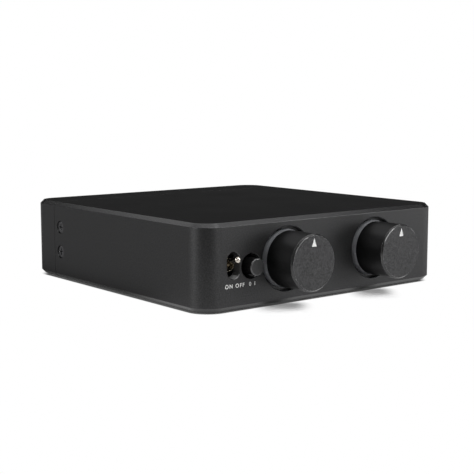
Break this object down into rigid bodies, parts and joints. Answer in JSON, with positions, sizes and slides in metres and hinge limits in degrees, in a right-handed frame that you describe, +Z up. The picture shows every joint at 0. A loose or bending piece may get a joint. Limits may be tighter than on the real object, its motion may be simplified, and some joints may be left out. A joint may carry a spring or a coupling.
{
  "type": "phono preamp",
  "caption": "Low square phono preamp in a dark aluminium case, with large round knobs, a toggle and a push button in front, and jacks behind.",
  "frame": {"origin": "on the desk, under the middle of the whole object, knobs and jacks included", "axes": "+X to the right as seen from the front, +Y to the back, +Z up"},
  "size_m": [0.1524, 0.18, 0.04],
  "materials": {
    "case_aluminium": "fine bead-blasted and black anodised",
    "knob_aluminium": "turned, satin, black anodised",
    "black_steel": "black oxide",
    "plain_steel": "bright nickel-plated",
    "foot_rubber": "matte black",
    "gold_brass": "gold-plated, turned",
    "plain_brass": "bright",
    "black_plastic": "moulded",
    "pot_metal": "zinc-plated",
    "white_plastic": "moulded",
    "red_plastic": "moulded",
    "board_laminate": "green solder mask",
    "resistor_body": "lacquered",
    "capacitor_can": "sleeved"
  },
  "bodies": {
    "case": {"top_shell": "case_aluminium", "rear_cap": "case_aluminium", "base_plate": "case_aluminium", "side_screws": "black_steel", "base_screws": "black_steel", "jack_screws": "black_steel", "board_screws": "plain_steel", "pot_washers": "plain_steel", "pot_nuts": "plain_steel", "toggle_bushing": "plain_steel", "button_spring": "plain_steel", "ground_post_nut": "plain_steel", "ground_lug": "plain_steel", "power_inlet_pin": "plain_steel", "rubber_feet": "foot_rubber", "jack_barrels": "gold_brass", "jack_centre_contacts": "gold_brass", "ground_post": "gold_brass", "board_standoffs": "plain_brass", "toggle_housing": "black_plastic", "button_switch_housing": "black_plastic", "input_jack_housing": "black_plastic", "output_jack_housing": "black_plastic", "power_inlet": "black_plastic", "op_amps": "black_plastic", "voltage_regulators": "black_plastic", "rectifier_diodes": "black_plastic", "gain_pot_housing": "pot_metal", "volume_pot_housing": "pot_metal", "white_jack_inserts": "white_plastic", "relays": "white_plastic", "red_jack_inserts": "red_plastic", "film_capacitors": "red_plastic", "main_board": "board_laminate", "resistors": "resistor_body", "filter_capacitors": "capacitor_can"},
    "gain_knob": {"gain_knob": "knob_aluminium", "gain_knob_set_screw": "black_steel", "gain_pot_shaft": "plain_steel"},
    "volume_knob": {"volume_knob": "knob_aluminium", "volume_knob_set_screw": "black_steel", "volume_pot_shaft": "plain_steel"},
    "toggle": {"toggle_lever": "plain_steel"},
    "button": {"button_cap": "knob_aluminium", "button_plunger": "black_plastic"},
    "ground_washer": {"ground_washer": "gold_brass"},
    "ground_nut": {"ground_thumb_nut": "gold_brass"}
  },
  "joints": [
    {"name": "gain_knob_turn", "type": "hinge", "parent": "case", "child": "gain_knob", "pos_m": [-0.0275, -0.072, 0.0209], "axis": [0, 1, 0], "range_deg": [-150, 150]},
    {"name": "volume_knob_turn", "type": "hinge", "parent": "case", "child": "volume_knob", "pos_m": [0.0294, -0.072, 0.0209], "axis": [0, 1, 0], "range_deg": [-150, 150]},
    {"name": "toggle_flip", "type": "hinge", "parent": "case", "child": "toggle", "pos_m": [-0.0591, -0.0633, 0.0207], "axis": [1, 0, 0], "range_deg": [0, 29]},
    {"name": "button_press", "type": "slide", "parent": "case", "child": "button", "axis": [0, 1, 0], "range_m": [0, 0.0025], "stiffness_N_per_m": 400, "springref_m": -0.002, "deforming": ["button_spring"]},
    {"name": "ground_washer_slide", "type": "slide", "parent": "case", "child": "ground_washer", "axis": [0, 1, 0], "range_m": [0, 0.0021]},
    {"name": "ground_nut_turn", "type": "hinge", "parent": "ground_washer", "child": "ground_nut", "pos_m": [-0.056, 0.0822, 0.02], "axis": [0, 1, 0], "range_deg": [0, 1080]}
  ],
  "couplings": [
    {"joint": "ground_nut_turn", "follows": "ground_washer_slide", "rad_per_m": 8976}
  ]
}
